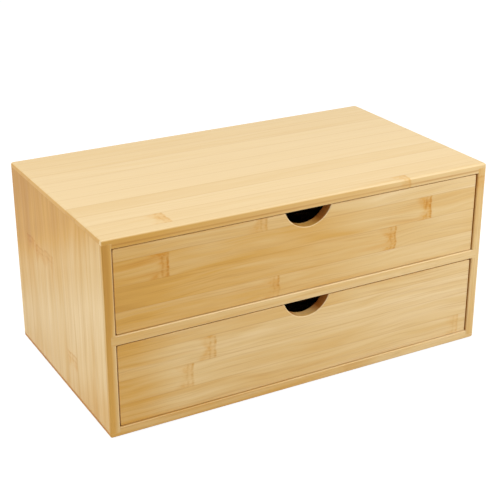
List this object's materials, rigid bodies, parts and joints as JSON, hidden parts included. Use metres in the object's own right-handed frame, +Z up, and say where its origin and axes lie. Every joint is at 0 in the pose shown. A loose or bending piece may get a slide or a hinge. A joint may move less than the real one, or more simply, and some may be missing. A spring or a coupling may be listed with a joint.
{
  "type": "desktop drawer organizer",
  "caption": "Desktop bamboo organizer: a low rectangular case with stacked full-width drawers, each pulled open by a half-round finger notch.",
  "frame": {"origin": "on the desk surface, under the middle of the case's footprint", "axes": "+X along the width, to the right as seen from the front; -Y towards the user, the way the drawers open; +Z up"},
  "size_m": [0.33, 0.187, 0.156],
  "materials": {
    "case_bamboo": "satin clear lacquer on solid laminated bamboo",
    "drawer_front_bamboo": "satin clear lacquer on solid laminated bamboo",
    "drawer_box_bamboo": "thin matt lacquer on laminated bamboo",
    "thin_bamboo": "thin matt lacquer on bamboo plywood",
    "pad_rubber": "matt dark non-slip rubber"
  },
  "bodies": {
    "case": {"top_panel": "case_bamboo", "bottom_panel": "case_bamboo", "left_side_panel": "case_bamboo", "right_side_panel": "case_bamboo", "middle_shelf": "case_bamboo", "back_panel": "thin_bamboo", "foot_pad_front_left": "pad_rubber", "foot_pad_front_right": "pad_rubber", "foot_pad_rear_left": "pad_rubber", "foot_pad_rear_right": "pad_rubber"},
    "upper_drawer": {"upper_drawer_front": "drawer_front_bamboo", "upper_drawer_left_side": "drawer_box_bamboo", "upper_drawer_right_side": "drawer_box_bamboo", "upper_drawer_back": "drawer_box_bamboo", "upper_drawer_bottom": "thin_bamboo"},
    "lower_drawer": {"lower_drawer_front": "drawer_front_bamboo", "lower_drawer_left_side": "drawer_box_bamboo", "lower_drawer_right_side": "drawer_box_bamboo", "lower_drawer_back": "drawer_box_bamboo", "lower_drawer_bottom": "thin_bamboo"}
  },
  "joints": [
    {"name": "upper_drawer_slide", "type": "slide", "parent": "case", "child": "upper_drawer", "axis": [0, -1, 0], "range_m": [0, 0.14]},
    {"name": "lower_drawer_slide", "type": "slide", "parent": "case", "child": "lower_drawer", "axis": [0, -1, 0], "range_m": [0, 0.14]}
  ]
}
